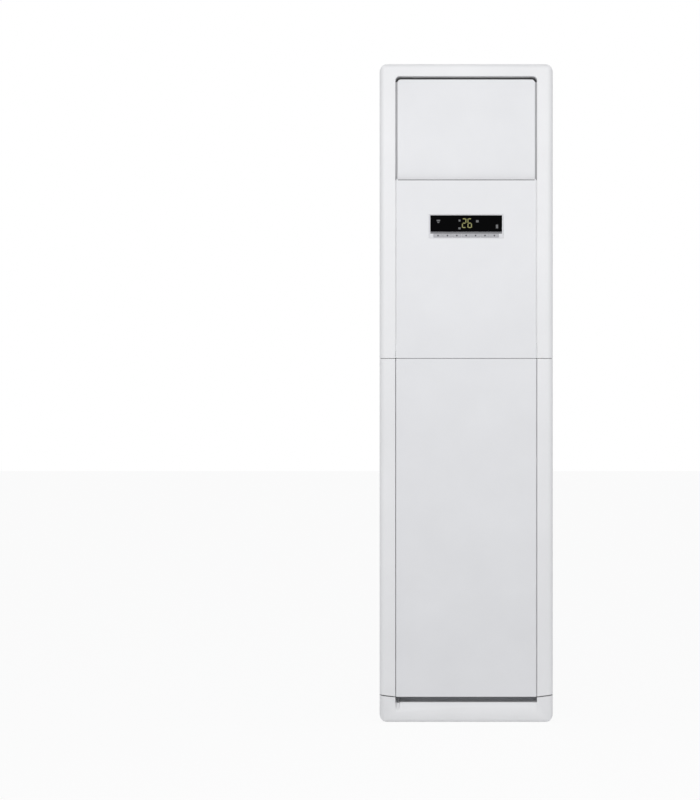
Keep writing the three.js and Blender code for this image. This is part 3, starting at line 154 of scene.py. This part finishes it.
def add_floor():
    """A pale floor that looks nearly white and still takes a faint shadow."""
    mesh = bpy.data.meshes.new("floor")
    r = FLOOR_REACH
    mesh.from_pydata([(-r, -r, 0), (r, -r, 0), (r, r, 0), (-r, r, 0)], [], [(0, 1, 2, 3)])
    floor = bpy.data.objects.new("floor", mesh)
    scene.collection.objects.link(floor)
    material = bpy.data.materials.new("floor")
    material.use_nodes = True
    tree = material.node_tree
    shade = tree.nodes["Principled BSDF"]
    shade.inputs["Base Color"].default_value = FLOOR_GREY
    shade.inputs["Roughness"].default_value = FLOOR_ROUGH
    white = tree.nodes.new("ShaderNodeEmission")
    white.inputs["Strength"].default_value = 1.0
    share = tree.nodes.new("ShaderNodeMath")
    share.operation = "MULTIPLY"
    share.inputs[1].default_value = FLOOR_WHITE
    mix = tree.nodes.new("ShaderNodeMixShader")
    tree.links.new(seen_directly(tree), share.inputs[0])
    tree.links.new(share.outputs[0], mix.inputs[0])
    tree.links.new(shade.outputs[0], mix.inputs[1])
    tree.links.new(white.outputs[0], mix.inputs[2])
    tree.links.new(mix.outputs[0], tree.nodes["Material Output"].inputs["Surface"])
    mesh.materials.append(material)


# ---------------------------------------------------------------- kinds of material
CLOUD_START = 0.3  # noise values at which the darker and the lighter colour are reached
CLOUD_END = 0.7
BUMP_STRENGTH = 0.35
PLASTIC_CLOUD = 6.0  # noise scale, about this many patches a metre
PLASTIC_SPREAD = 0.02  # share by which a plastic's colour varies, both ways
PLASTIC_ROUGH_SPREAD = 0.05
GRAIN_DETAIL = 2.0
PLASTIC_IOR = 1.46
COAT_ROUGH = 0.15
METAL_DARK = 0.86  # shares of a metal's colour in its streaks
METAL_LIGHT = 1.1
METAL_SMOOTHER = 0.08  # least and most roughness, from the one that is given
METAL_ROUGHER = 0.1
METAL_DETAIL = 5.0
METAL_RELIEF = 0.03 * MM
NET_CLOUD = 9.0
NET_DARK = 0.75  # shares of the net's colour where dust has settled and where it is clean
NET_LIGHT = 1.25
NET_ROUGH = 0.8
NET_THREADS = 220.0
NET_RELIEF = 0.4 * MM
GLOW_CLOUD = 260.0
GLOW_DARK = 0.85
GLOW_LIGHT = 1.1
GLOW_BASE = (0.02, 0.02, 0.02, 1)
GLOW_ROUGH = 0.4

looks = {}


def new_material(name):
    """Keeps a new material under its name in looks, and gives its node tree and its shader."""
    material = bpy.data.materials.new(name)
    material.use_nodes = True
    looks[name] = material
    return material.node_tree, material.node_tree.nodes["Principled BSDF"]


def noise(tree, scale, detail=3.0, stretch=(1, 1, 1)):
    """A noise on the object's own coordinates."""
    place = tree.nodes.new("ShaderNodeTexCoord")
    fit = tree.nodes.new("ShaderNodeMapping")
    fit.inputs["Scale"].default_value = stretch
    node = tree.nodes.new("ShaderNodeTexNoise")
    node.inputs["Scale"].default_value = scale
    node.inputs["Detail"].default_value = detail
    tree.links.new(place.outputs["Object"], fit.inputs["Vector"])
    tree.links.new(fit.outputs["Vector"], node.inputs["Vector"])
    return node


def vary(tree, shade, source, socket, color, darker, lighter):
    """Drives a colour socket by a noise, between two shares of one colour."""
    ramp = tree.nodes.new("ShaderNodeValToRGB")
    start, end = ramp.color_ramp.elements
    for stop, position, share in ((start, CLOUD_START, darker), (end, CLOUD_END, lighter)):
        stop.position = position
        stop.color = (*(min(1.0, c * share) for c in color), 1)
    tree.links.new(source.outputs["Fac"], ramp.inputs["Fac"])
    tree.links.new(ramp.outputs["Color"], shade.inputs[socket])


def roughen(tree, shade, source, least, most):
    """Drives the roughness by a noise."""
    span = tree.nodes.new("ShaderNodeMapRange")
    span.inputs["To Min"].default_value = least
    span.inputs["To Max"].default_value = most
    tree.links.new(source.outputs["Fac"], span.inputs["Value"])
    tree.links.new(span.outputs["Result"], shade.inputs["Roughness"])


def bump(tree, shade, source, depth):
    """A fine relief from a noise."""
    node = tree.nodes.new("ShaderNodeBump")
    node.inputs["Strength"].default_value = BUMP_STRENGTH
    node.inputs["Distance"].default_value = depth
    tree.links.new(source.outputs["Fac"], node.inputs["Height"])
    tree.links.new(node.outputs["Normal"], shade.inputs["Normal"])


def plastic(name, color, rough, grain=900.0, depth=0.04 * MM, coat=0.0, shine=0.5):
    """Moulded plastic, paint or rubber: a faint cloud of colour and a fine grain."""
    tree, shade = new_material(name)
    cloud = noise(tree, PLASTIC_CLOUD)
    vary(tree, shade, cloud, "Base Color", color, 1 - PLASTIC_SPREAD, 1 + PLASTIC_SPREAD)
    fine = noise(tree, grain, GRAIN_DETAIL)
    roughen(tree, shade, fine, rough - PLASTIC_ROUGH_SPREAD, rough + PLASTIC_ROUGH_SPREAD)
    bump(tree, shade, fine, depth)
    shade.inputs["IOR"].default_value = PLASTIC_IOR
    shade.inputs["Specular IOR Level"].default_value = shine
    shade.inputs["Coat Weight"].default_value = coat
    shade.inputs["Coat Roughness"].default_value = COAT_ROUGH


def metal(name, color, rough, stretch=(1, 1, 1), grain=120.0):
    """Bare metal with streaks, or with spangles where the grain is coarse."""
    tree, shade = new_material(name)
    streaks = noise(tree, grain, METAL_DETAIL, stretch)
    vary(tree, shade, streaks, "Base Color", color, METAL_DARK, METAL_LIGHT)
    roughen(tree, shade, streaks, rough - METAL_SMOOTHER, rough + METAL_ROUGHER)
    bump(tree, shade, streaks, METAL_RELIEF)
    shade.inputs["Metallic"].default_value = 1.0


def net(name, color):
    """Woven nylon net: two crossed wave patterns for the threads."""
    tree, shade = new_material(name)
    cloud = noise(tree, NET_CLOUD)
    vary(tree, shade, cloud, "Base Color", color, NET_DARK, NET_LIGHT)
    place = tree.nodes.new("ShaderNodeTexCoord")
    cross = tree.nodes.new("ShaderNodeMath")
    cross.operation = "MAXIMUM"
    for direction, side in zip(("Y", "Z"), cross.inputs):
        wave = tree.nodes.new("ShaderNodeTexWave")
        wave.bands_direction = direction
        wave.inputs["Scale"].default_value = NET_THREADS
        tree.links.new(place.outputs["Object"], wave.inputs["Vector"])
        tree.links.new(wave.outputs["Fac"], side)
    relief = tree.nodes.new("ShaderNodeBump")
    relief.inputs["Distance"].default_value = NET_RELIEF
    tree.links.new(cross.outputs[0], relief.inputs["Height"])
    tree.links.new(relief.outputs["Normal"], shade.inputs["Normal"])
    shade.inputs["Roughness"].default_value = NET_ROUGH


def glowing(name, color, strength):
    """A lit mark of the display, uneven as light behind a mask is."""
    tree, shade = new_material(name)
    cloud = noise(tree, GLOW_CLOUD)
    vary(tree, shade, cloud, "Emission Color", color, GLOW_DARK, GLOW_LIGHT)
    shade.inputs["Base Color"].default_value = GLOW_BASE
    shade.inputs["Roughness"].default_value = GLOW_ROUGH
    shade.inputs["Emission Strength"].default_value = strength


# ---------------------------------------------------------------- the materials
def make_looks():
    """Every material: its name, its colour and its roughness or, where it is lit, its strength."""
    plastic("white_plastic", (0.845, 0.848, 0.86), 0.36, coat=0.15)
    plastic("frame_plastic", (0.89, 0.89, 0.895), 0.34, coat=0.15)
    plastic("key_bezel", (0.78, 0.78, 0.80), 0.4)
    # steel of the hinge pins, darkened to match the shade of the gaps they sit in
    metal("shaded_pin_steel", (0.16, 0.165, 0.17), 0.45)
    plastic("white_paint", (0.80, 0.805, 0.82), 0.45, grain=700.0, depth=0.08 * MM)
    plastic("duct_plastic", (0.74, 0.75, 0.76), 0.6)
    plastic("grey_plastic", (0.40, 0.41, 0.43), 0.5)
    plastic("key_plastic", (0.47, 0.47, 0.49), 0.4)
    plastic("dark_plastic", (0.03, 0.03, 0.035), 0.5)
    plastic("display_lens", (0.001, 0.001, 0.0012), 0.16, depth=0.01 * MM, shine=0.01)
    metal("zinc", (0.58, 0.59, 0.60), 0.42, grain=35.0)
    metal("fin_aluminium", (0.56, 0.57, 0.59), 0.5, stretch=(40, 40, 1), grain=40.0)
    metal("copper_tube", (0.72, 0.33, 0.17), 0.28)
    plastic("black_rubber", (0.02, 0.02, 0.02), 0.8)
    net("filter_mesh", (0.16, 0.19, 0.22))
    glowing("digits", (0.60, 0.58, 0.09), 0.34)
    glowing("icons", (0.50, 0.51, 0.53), 0.14)
    plastic("key_mark", (0.06, 0.06, 0.07), 0.5)
    # painted shade: the grey that darkens the groove along the upper panel's top edge
    plastic("groove_shade_grey", (0.30, 0.30, 0.31), 0.6)
    # painted shade: grey for the frame's faces seen through the grooves beside the door
    plastic("door_groove_shade_grey", (0.52, 0.52, 0.53), 0.6)
    # painted shadow under the display window
    plastic("window_shadow_grey", (0.19, 0.19, 0.20), 0.5)


# ---------------------------------------------------------------- pieces
record = frame["record"]
body_of_node = {n: b for b, members in record["behaviour"]["bodies"].items() for n in members}
slot_of_node = {s["node"]: s["material_slot"] for s in record["subparts"]}

MERGE_DISTANCE = 0.01 * MM
FLAT_ANGLE = math.radians(0.5)  # faces that meet flatter than this become one
ROUNDED_ANGLE = math.radians(38)  # edges sharper than this are rounded
FLAT_WEIGHT = 90  # above 50, the large faces lead the shading
MARK_EDGE = 0.05  # rounding of small added pieces, in millimetres
MARK_EDGE_SEGMENTS = 2


def finish_mesh(piece, bevel, segments):
    """Rounds the sharp edges by a bevel in millimetres, and keeps flat faces flat."""
    rounding = piece.modifiers.new("rounding", "BEVEL")
    rounding.width = bevel * MM
    rounding.segments = segments
    rounding.limit_method = "ANGLE"
    rounding.angle_limit = ROUNDED_ANGLE
    rounding.use_clamp_overlap = True
    flat = piece.modifiers.new("flat_faces", "WEIGHTED_NORMAL")
    flat.keep_sharp = True
    flat.weight = FLAT_WEIGHT


def make_piece(name, bm, mesh, material, bevel, segments):
    """The object for a finished bmesh, smooth shaded and with rounded edges."""
    bmesh.ops.recalc_face_normals(bm, faces=bm.faces)
    bm.to_mesh(mesh)
    bm.free()
    mesh.polygons.foreach_set("use_smooth", [True] * len(mesh.polygons))
    mesh.materials.clear()
    mesh.materials.append(material)
    piece = bpy.data.objects.new(name, mesh)
    scene.collection.objects.link(piece)
    finish_mesh(piece, bevel, segments)
    return piece


def dress(node, look, bevel, segments):
    """A smooth, edge-rounded shell in a CAD node's place."""
    mesh = nodes[node].data.copy()
    bm = bmesh.new()
    bm.from_mesh(mesh)
    bmesh.ops.remove_doubles(bm, verts=bm.verts, dist=MERGE_DISTANCE)
    bmesh.ops.dissolve_limit(bm, angle_limit=FLAT_ANGLE, verts=bm.verts, edges=bm.edges)
    piece = make_piece(node + "_shell", bm, mesh, looks[look], bevel, segments)
    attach(piece, body_of_node[node])
    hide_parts(node)
    return piece


def add_piece(name, bm, look, body):
    """A new small piece from a bmesh, on a CAD body."""
    mesh = bpy.data.meshes.new(name)
    piece = make_piece(name, bm, mesh, looks[look], MARK_EDGE, MARK_EDGE_SEGMENTS)
    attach(piece, body)


def block(bm, low_corner, high_corner):
    """Adds a box between two corners and gives its vertices."""
    made = bmesh.ops.create_cube(bm, size=1.0)["verts"]
    size = Vector(high_corner) - Vector(low_corner)
    middle = (Vector(high_corner) + Vector(low_corner)) / 2
    for v in made:
        v.co = Vector((v.co.x * size.x, v.co.y * size.y, v.co.z * size.z)) + middle
    return made


# ---------------------------------------------------------------- shells of the CAD nodes
# Panels whose edges show most have their own rounding, in millimetres.
PANEL_EDGE = {
    "upper_front_frame": 1.6,
    "left_lower_pillar": 1.2,
    "right_lower_pillar": 1.2,
    "plinth_cover": 1.2,
    "upper_front_panel": 0.4,
    "lower_front_panel": 1.0,
    "outlet_door": 1.2,
    "top_cover": 1.0,
    "left_side_panel": 0.6,
    "right_side_panel": 0.6,
}
PANEL_EDGE_SEGMENTS = 3
DISPLAY_EDGE = 0.25  # of the display's parts and the keys
INNER_EDGE = 0.5  # of everything else
INNER_EDGE_SEGMENTS = 2

# Nodes that look different from their material slot.
OWN_LOOK = {
    "upper_front_frame": "frame_plastic",
    "left_lower_pillar": "frame_plastic",
    "right_lower_pillar": "frame_plastic",
    "plinth_cover": "frame_plastic",
    "display_housing": "key_bezel",
}

HINGE_PIN_ZONE = 20.5 * MM  # the pins lie this near the lower panel's foot
SEAM = 0.8 * MM  # lower panel's top edge to the upper panel
GROOVE_BAND = 3.5 * MM  # the groove, painted grey as its shade, lies this near the upper panel's top edge
GROOVE_SIDE = 3 * MM
GROOVE_WALL = 0.4 * MM
RAIL_REACH = 6 * MM  # the door's rails reach this far beyond its sides; the frame's faces behind them are painted grey as shade
NET_DEPTH = 0.5 * MM  # the filters' nets lie deeper than this in their frames
FACING = 0.9  # least part of a face's normal along an axis where it faces that way


def recolour(piece, look, chosen):
    """Gives the faces that pass the test another finish."""
    piece.data.materials.append(looks[look])
    index = len(piece.data.materials) - 1
    for face in piece.data.polygons:
        if chosen(face):
            face.material_index = index


def recolour_front(shells):
    """Hinge pins in steel darkened to the shade of their gaps, and painted shade: grey on the faces behind
    the narrow gaps of the front and in the groove under the door.
    """
    panel_low, panel_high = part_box("upper_front_panel")
    door_low, door_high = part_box("outlet_door")
    pin_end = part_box("lower_front_panel")[0][2] + HINGE_PIN_ZONE

    def on_pin(face):
        return face.center.z < pin_end or face.center.z > panel_low[2] - SEAM

    def in_shaded_groove(face):
        x, y, z = face.center
        inside = panel_low[1] + GROOVE_WALL < y < panel_high[1] - GROOVE_WALL
        return inside and z > panel_high[2] - GROOVE_BAND and abs(x) < panel_high[0] - GROOVE_SIDE

    # faces that face the front behind the door's front plane, which are given painted shade
    def shaded_face_behind_gap(face):
        return face.normal.y < -FACING and face.center.y > door_low[1]

    def shaded_face_by_door(face):
        return shaded_face_behind_gap(face) and abs(face.center.x) < door_high[0] + RAIL_REACH

    # hinge pins: real steel, coloured dark as the shade of their gaps
    recolour(shells["lower_front_panel"], "shaded_pin_steel", on_pin)
    # painted shade: the groove under the door is coloured grey for its shade
    recolour(shells["upper_front_panel"], "groove_shade_grey", in_shaded_groove)
    # painted shade: the frame's faces behind the door's side grooves are coloured grey
    recolour(shells["upper_front_frame"], "door_groove_shade_grey", shaded_face_by_door)
    # painted shade: the plinth's face behind the kick gap is grey plastic for the gap's shade
    recolour(shells["plinth_cover"], "grey_plastic", shaded_face_behind_gap)


def recolour_filter(piece, node):
    """A grey plastic frame round a filter's net."""
    low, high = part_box(node)
    near = low[0] + NET_DEPTH
    far = high[0] - NET_DEPTH

    def on_frame(face):
        return abs(face.normal.x) < FACING or not near < face.center.x < far

    recolour(piece, "grey_plastic", on_frame)


def dress_all():
    shells = {}
    for node in sorted(nodes):
        look = OWN_LOOK.get(node, slot_of_node[node])
        bevel = DISPLAY_EDGE if node.startswith(("key_", "display")) else INNER_EDGE
        segments = INNER_EDGE_SEGMENTS
        if node.startswith("key_"):
            look = "key_plastic"
        if node in PANEL_EDGE:
            bevel = PANEL_EDGE[node]
            segments = PANEL_EDGE_SEGMENTS
        shells[node] = dress(node, look, bevel, segments)
    recolour_front(shells)
    for node in ("left_filter", "right_filter"):
        recolour_filter(shells[node], node)


# ---------------------------------------------------------------- display, in millimetres
SEGMENTS = {
    "2": "abged",
    "6": "afgedc",
}
DIGIT_WIDTH = 12.0
DIGIT_HEIGHT = 26.0
STROKE = 2.6
RISE = 1  # the figures' middle above the window's
RELIEF = 0.15  # figures, signs and band stand this far out of the window
SINK = 0.4  # and figures and signs reach this far into it
FIGURES = ((-5.5, "2"), (9.5, "6"))  # the middle of each, and what it shows
SIGNS = (  # x and z from the figures' middle, width and height
    (-75, 7, 9, 4),
    (-75, 2, 5, 3),
    (-18, 7, 5, 5),
    (-18, -14, 6, 5),
    (30, 5, 7, 6),
    (83, -9, 6, 10),
)
BAND_KEY_GAP = 1.0
BAND_WINDOW_GAP = 0.5


def digit_bars(x, z, figure):
    """Left, lower, right and upper edges of the bars of one seven-segment figure."""
    w, h, s = DIGIT_WIDTH / 2, DIGIT_HEIGHT / 2, STROKE
    spots = {
        "a": (-w + s, h - s, w - s, h),
        "g": (-w + s, -s / 2, w - s, s / 2),
        "d": (-w + s, -h, w - s, -h + s),
        "f": (-w, s / 2, -w + s, h - s / 2),
        "b": (w - s, s / 2, w, h - s / 2),
        "e": (-w, -h + s / 2, -w + s, -s / 2),
        "c": (w - s, -h + s / 2, w, -s / 2),
    }
    return [tuple(v + d for v, d in zip(spots[k], (x, z, x, z))) for k in SEGMENTS[figure]]


def sign_bar(x, z, width, height):
    return x - width / 2, z - height / 2, x + width / 2, z + height / 2


def add_lit_bars(name, look, bars):
    """Low bars on the window's face, in one piece."""
    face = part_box("display_window")[0][1] / MM
    bm = bmesh.new()
    for x0, z0, x1, z1 in bars:
        block(bm, (x0 * MM, (face - RELIEF) * MM, z0 * MM), (x1 * MM, (face + SINK) * MM, z1 * MM))
    add_piece(name, bm, look, "cabinet")


def add_display():
    low_corner, high_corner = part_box("display_window")
    middle = (low_corner[2] + high_corner[2]) / 2 / MM + RISE
    bars = [bar for x, figure in FIGURES for bar in digit_bars(x, middle, figure)]
    add_lit_bars("display_figures", "digits", bars)
    signs = [sign_bar(x, middle + z, width, height) for x, z, width, height in SIGNS]
    add_lit_bars("display_icons", "icons", signs)


def add_window_shadow():
    """A painted shadow: a grey strip between the window's foot and the keys, standing for the shade under
    the window.
    """
    window_low, window_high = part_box("display_window")
    face = window_low[1]
    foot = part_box("key_1")[1][2] + BAND_KEY_GAP * MM
    top = window_low[2] - BAND_WINDOW_GAP * MM
    bm = bmesh.new()
    block(bm, (window_low[0], face - RELIEF * MM, foot), (window_high[0], face + RELIEF * MM, top))
    add_piece("display_window_shadow", bm, "window_shadow_grey", "cabinet")


# ---------------------------------------------------------------- marks on the keys
KEY_MARK_RADIUS = 2.2 * MM
KEY_MARK_DEPTH = 0.4 * MM
KEY_MARK_SIDES = 20


def add_key_marks():
    """A round mark half sunk in the face of each key."""
    for key in sorted(node for node in nodes if node.startswith("key_")):
        low_corner, high_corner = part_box(key)
        x = (low_corner[0] + high_corner[0]) / 2
        z = (low_corner[2] + high_corner[2]) / 2
        y = low_corner[1]
        bm = bmesh.new()
        bmesh.ops.create_cone(bm, cap_ends=True, segments=KEY_MARK_SIDES, radius1=KEY_MARK_RADIUS,
                              radius2=KEY_MARK_RADIUS, depth=KEY_MARK_DEPTH)
        for v in bm.verts:
            v.co = Vector((x + v.co.x, y + v.co.z, z + v.co.y))
        name = key.replace("key_", "key_mark_")
        add_piece(name, bm, "key_mark", body_of_node[key])


# ---------------------------------------------------------------- screws of the back
SCREW_RADIUS = 4.2 * MM
SCREW_SIDES = 20
SCREW_RINGS = 10
SCREW_FLATNESS = 0.55  # height of the head as a share of its radius
CROSS_REACH = 0.6 * SCREW_RADIUS  # from the middle, and up from the panel
CROSS_SLIMNESS = 0.22
SCREW_SIDE_INSET = 6 * MM
SCREW_END_INSET = 30 * MM
SCREWS_PER_SIDE = 4
UP_TO_BACK = Vector((0, 0, 1)).rotation_difference(Vector((0, 1, 0))).to_matrix()


def add_screw(bm, place):
    """A pan head with a raised cross, its underside on a panel that faces the back."""
    head = bmesh.ops.create_uvsphere(bm, u_segments=SCREW_SIDES, v_segments=SCREW_RINGS,
                                     radius=SCREW_RADIUS)["verts"]
    for v in head:
        v.co.z = max(v.co.z, 0.0) * SCREW_FLATNESS
    bars = []
    for x, y in ((1.0, CROSS_SLIMNESS), (CROSS_SLIMNESS, 1.0)):
        reach = Vector((x * CROSS_REACH, y * CROSS_REACH, 0))
        bars += block(bm, -reach, reach + Vector((0, 0, CROSS_REACH)))
    for v in list(head) + bars:
        v.co = UP_TO_BACK @ v.co + Vector(place)


def add_screws():
    bm = bmesh.new()
    for node in ("rear_lower_panel", "rear_upper_panel"):
        low_corner, high_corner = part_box(node)
        foot = low_corner[2] + SCREW_END_INSET
        span = high_corner[2] - SCREW_END_INSET - foot
        for side in (-1, 1):
            x = side * (high_corner[0] - SCREW_SIDE_INSET)
            for i in range(SCREWS_PER_SIDE):
                add_screw(bm, (x, high_corner[1], foot + span * i / (SCREWS_PER_SIDE - 1)))
    add_piece("rear_screws", bm, "zinc", "cabinet")


# ---------------------------------------------------------------- the scene
make_looks()
add_camera()
add_world()
add_floor()
add_area("key_lamp", place=(-0.25, -2.8, 2.1), aim=(0, 0, 1.3), width=2.4, height=1.8, power=26)
add_area("fill_lamp", place=(0.5, -3.6, 1.2), aim=(0, 0, 0.9), width=2.6, height=2.2, power=9)
dress_all()
add_display()
add_window_shadow()
add_key_marks()
add_screws()
